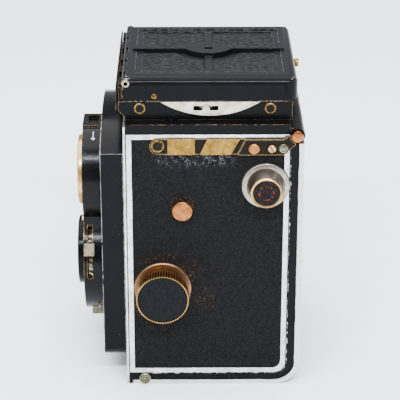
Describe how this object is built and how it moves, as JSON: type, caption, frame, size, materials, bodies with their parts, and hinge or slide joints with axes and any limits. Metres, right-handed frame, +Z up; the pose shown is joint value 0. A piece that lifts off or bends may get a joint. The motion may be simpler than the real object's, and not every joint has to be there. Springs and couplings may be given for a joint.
{
  "type": "twin lens reflex camera",
  "caption": "Box-shaped roll-film camera with a viewing lens above a taking lens on a sliding front, a folding top hood, side knobs, a winding crank and a hinged back.",
  "frame": {"origin": "centre of the mouth of the tripod socket, on the plane that the base rests on", "axes": "+Z up, the lenses face -Y, the focusing knob is on +X"},
  "size_m": [0.0926, 0.0889, 0.1294],
  "materials": {
    "black_enamel": "gloss",
    "polished_alloy": "polished",
    "leather_black": "pebbled",
    "blackened_metal": "matt",
    "film_roller_steel": "turned",
    "silvered_glass": "first surface",
    "ground_glass": "ground",
    "worn_brass": "worn",
    "copper_turned": "turned",
    "nickel": "worn nickel plate",
    "crinkle_enamel": "crinkle",
    "satin_enamel": "satin",
    "lens_glass": "polished",
    "spring_steel": "satin"
  },
  "bodies": {
    "body": {"body_shell": "black_enamel", "front_frame": "polished_alloy", "side_trims": "polished_alloy", "side_leathers": "leather_black", "film_gate": "blackened_metal", "reflex_mirror": "silvered_glass", "focusing_screen": "ground_glass", "screen_frame": "blackened_metal", "strap_brackets": "black_enamel", "strap_bars": "worn_brass", "brass_screws": "worn_brass", "focus_knob_base": "worn_brass", "spool_knob_plate": "nickel", "crank_plate": "nickel", "hood_base": "black_enamel", "hood_side_plates": "nickel", "hood_front_plate": "black_enamel", "hood_pins": "film_roller_steel", "back_hinge_pin": "worn_brass"},
    "upper_roller": {"guide_roller_upper": "film_roller_steel"},
    "lower_roller": {"guide_roller_lower": "film_roller_steel"},
    "film_wind": {"take_up_spool": "blackened_metal", "crank_arm": "black_enamel", "crank_grip_pin": "nickel"},
    "grip": {"crank_grip": "satin_enamel"},
    "button": {"side_button": "copper_turned"},
    "focus_drive": {"focus_knob": "worn_brass", "focus_knob_insert": "leather_black", "focus_shaft": "film_roller_steel"},
    "spool_release": {"spool_knob": "nickel", "spool_knob_insert": "satin_enamel"},
    "standard": {"front_standard": "black_enamel", "shutter_housing": "crinkle_enamel", "viewing_ring": "worn_brass", "taking_ring": "black_enamel", "viewing_barrel": "blackened_metal", "taking_barrel": "blackened_metal", "lens_glasses": "lens_glass", "shutter_blades": "spring_steel", "aperture_blades": "blackened_metal", "housing_screws": "nickel"},
    "speed": {"speed_lever": "nickel"},
    "aperture": {"aperture_lever": "nickel"},
    "release": {"release_lever": "worn_brass"},
    "slider": {"hood_slider": "nickel"},
    "lid": {"hood_lid": "satin_enamel", "lid_leather": "leather_black", "lid_cross": "satin_enamel"},
    "catch": {"lid_catch": "worn_brass"},
    "flap_l": {"flap_left": "satin_enamel"},
    "flap_r": {"flap_right": "satin_enamel"},
    "flap_b": {"flap_rear": "satin_enamel"},
    "magnifier_frame": {"magnifier": "blackened_metal"},
    "back": {"back_cover": "black_enamel", "back_leather": "leather_black", "pressure_plate": "blackened_metal", "pressure_spring": "spring_steel", "latch_pin": "nickel", "tripod_bush": "nickel"},
    "latch": {"latch_bail": "nickel"}
  },
  "joints": [
    {"name": "back_open", "type": "hinge", "parent": "body", "child": "back", "pos_m": [0, 0.0315, 0.107], "axis": [1, 0, 0], "range_deg": [0, 110]},
    {"name": "latch_release", "type": "hinge", "parent": "back", "child": "latch", "pos_m": [0, -0.0272, 0.0029], "axis": [-1, 0, 0], "range_deg": [0, 80]},
    {"name": "focus_slide", "type": "slide", "parent": "body", "child": "standard", "axis": [0, -1, 0], "range_m": [0, 0.0065]},
    {"name": "focus_turn", "type": "hinge", "parent": "body", "child": "focus_drive", "pos_m": [0, -0.01975, 0.0432], "axis": [1, 0, 0], "range_deg": [0, 300]},
    {"name": "film_advance", "type": "hinge", "parent": "body", "child": "film_wind", "pos_m": [0, 0.0198, 0.0871], "axis": [1, 0, 0], "continuous": true},
    {"name": "crank_unfold", "type": "hinge", "parent": "film_wind", "child": "grip", "pos_m": [-0.0425, -0.0022, 0.0871], "axis": [0, 0, 1], "range_deg": [0, 90]},
    {"name": "upper_roller_turn", "type": "hinge", "parent": "body", "child": "upper_roller", "pos_m": [0, 0.0255, 0.0751], "axis": [1, 0, 0], "continuous": true},
    {"name": "lower_roller_turn", "type": "hinge", "parent": "body", "child": "lower_roller", "pos_m": [0, 0.0255, 0.0102], "axis": [1, 0, 0], "continuous": true},
    {"name": "side_button_push", "type": "slide", "parent": "body", "child": "button", "axis": [-1, 0, 0], "range_m": [0, 0.0015], "stiffness_N_per_m": 300},
    {"name": "spool_knob_pull", "type": "slide", "parent": "body", "child": "spool_release", "axis": [1, 0, 0], "range_m": [0, 0.005], "stiffness_N_per_m": 300},
    {"name": "speed_set", "type": "hinge", "parent": "standard", "child": "speed", "pos_m": [0, -0.046, 0.0428], "axis": [0, -1, 0], "range_deg": [-20, 15]},
    {"name": "aperture_set", "type": "hinge", "parent": "standard", "child": "aperture", "pos_m": [0, -0.046, 0.0428], "axis": [0, -1, 0], "range_deg": [-15, 20]},
    {"name": "shutter_release", "type": "hinge", "parent": "standard", "child": "release", "pos_m": [0, -0.046, 0.0428], "axis": [0, -1, 0], "range_deg": [0, 20], "stiffness_Nm_per_rad": 0.02},
    {"name": "hood_slider_shift", "type": "slide", "parent": "body", "child": "slider", "axis": [0, 1, 0], "range_m": [-0.003, 0.003]},
    {"name": "lid_open", "type": "hinge", "parent": "body", "child": "lid", "pos_m": [0, -0.0331, 0.1264], "axis": [1, 0, 0], "range_deg": [0, 90]},
    {"name": "lid_catch_push", "type": "slide", "parent": "lid", "child": "catch", "axis": [0, 0, -1], "range_m": [0, 0.0012], "stiffness_N_per_m": 300},
    {"name": "flap_left_rise", "type": "hinge", "parent": "body", "child": "flap_l", "pos_m": [0.029, 0, 0.1206], "axis": [0, 1, 0], "range_deg": [0, 90]},
    {"name": "flap_right_rise", "type": "hinge", "parent": "body", "child": "flap_r", "pos_m": [-0.029, 0, 0.1206], "axis": [0, -1, 0], "range_deg": [0, 90]},
    {"name": "flap_rear_rise", "type": "hinge", "parent": "body", "child": "flap_b", "pos_m": [0, 0.0274, 0.1206], "axis": [-1, 0, 0], "range_deg": [0, 90]},
    {"name": "magnifier_fold", "type": "hinge", "parent": "lid", "child": "magnifier_frame", "pos_m": [0, -0.0081, 0.125], "axis": [-1, 0, 0], "range_deg": [0, 90]}
  ],
  "couplings": [
    {"joint": "focus_turn", "follows": "focus_slide", "rad_per_m": 805.54},
    {"joint": "flap_left_rise", "follows": "lid_open", "ratio": 1},
    {"joint": "flap_right_rise", "follows": "lid_open", "ratio": 1},
    {"joint": "flap_rear_rise", "follows": "lid_open", "ratio": 1},
    {"joint": "magnifier_fold", "follows": "lid_open", "ratio": 1}
  ]
}
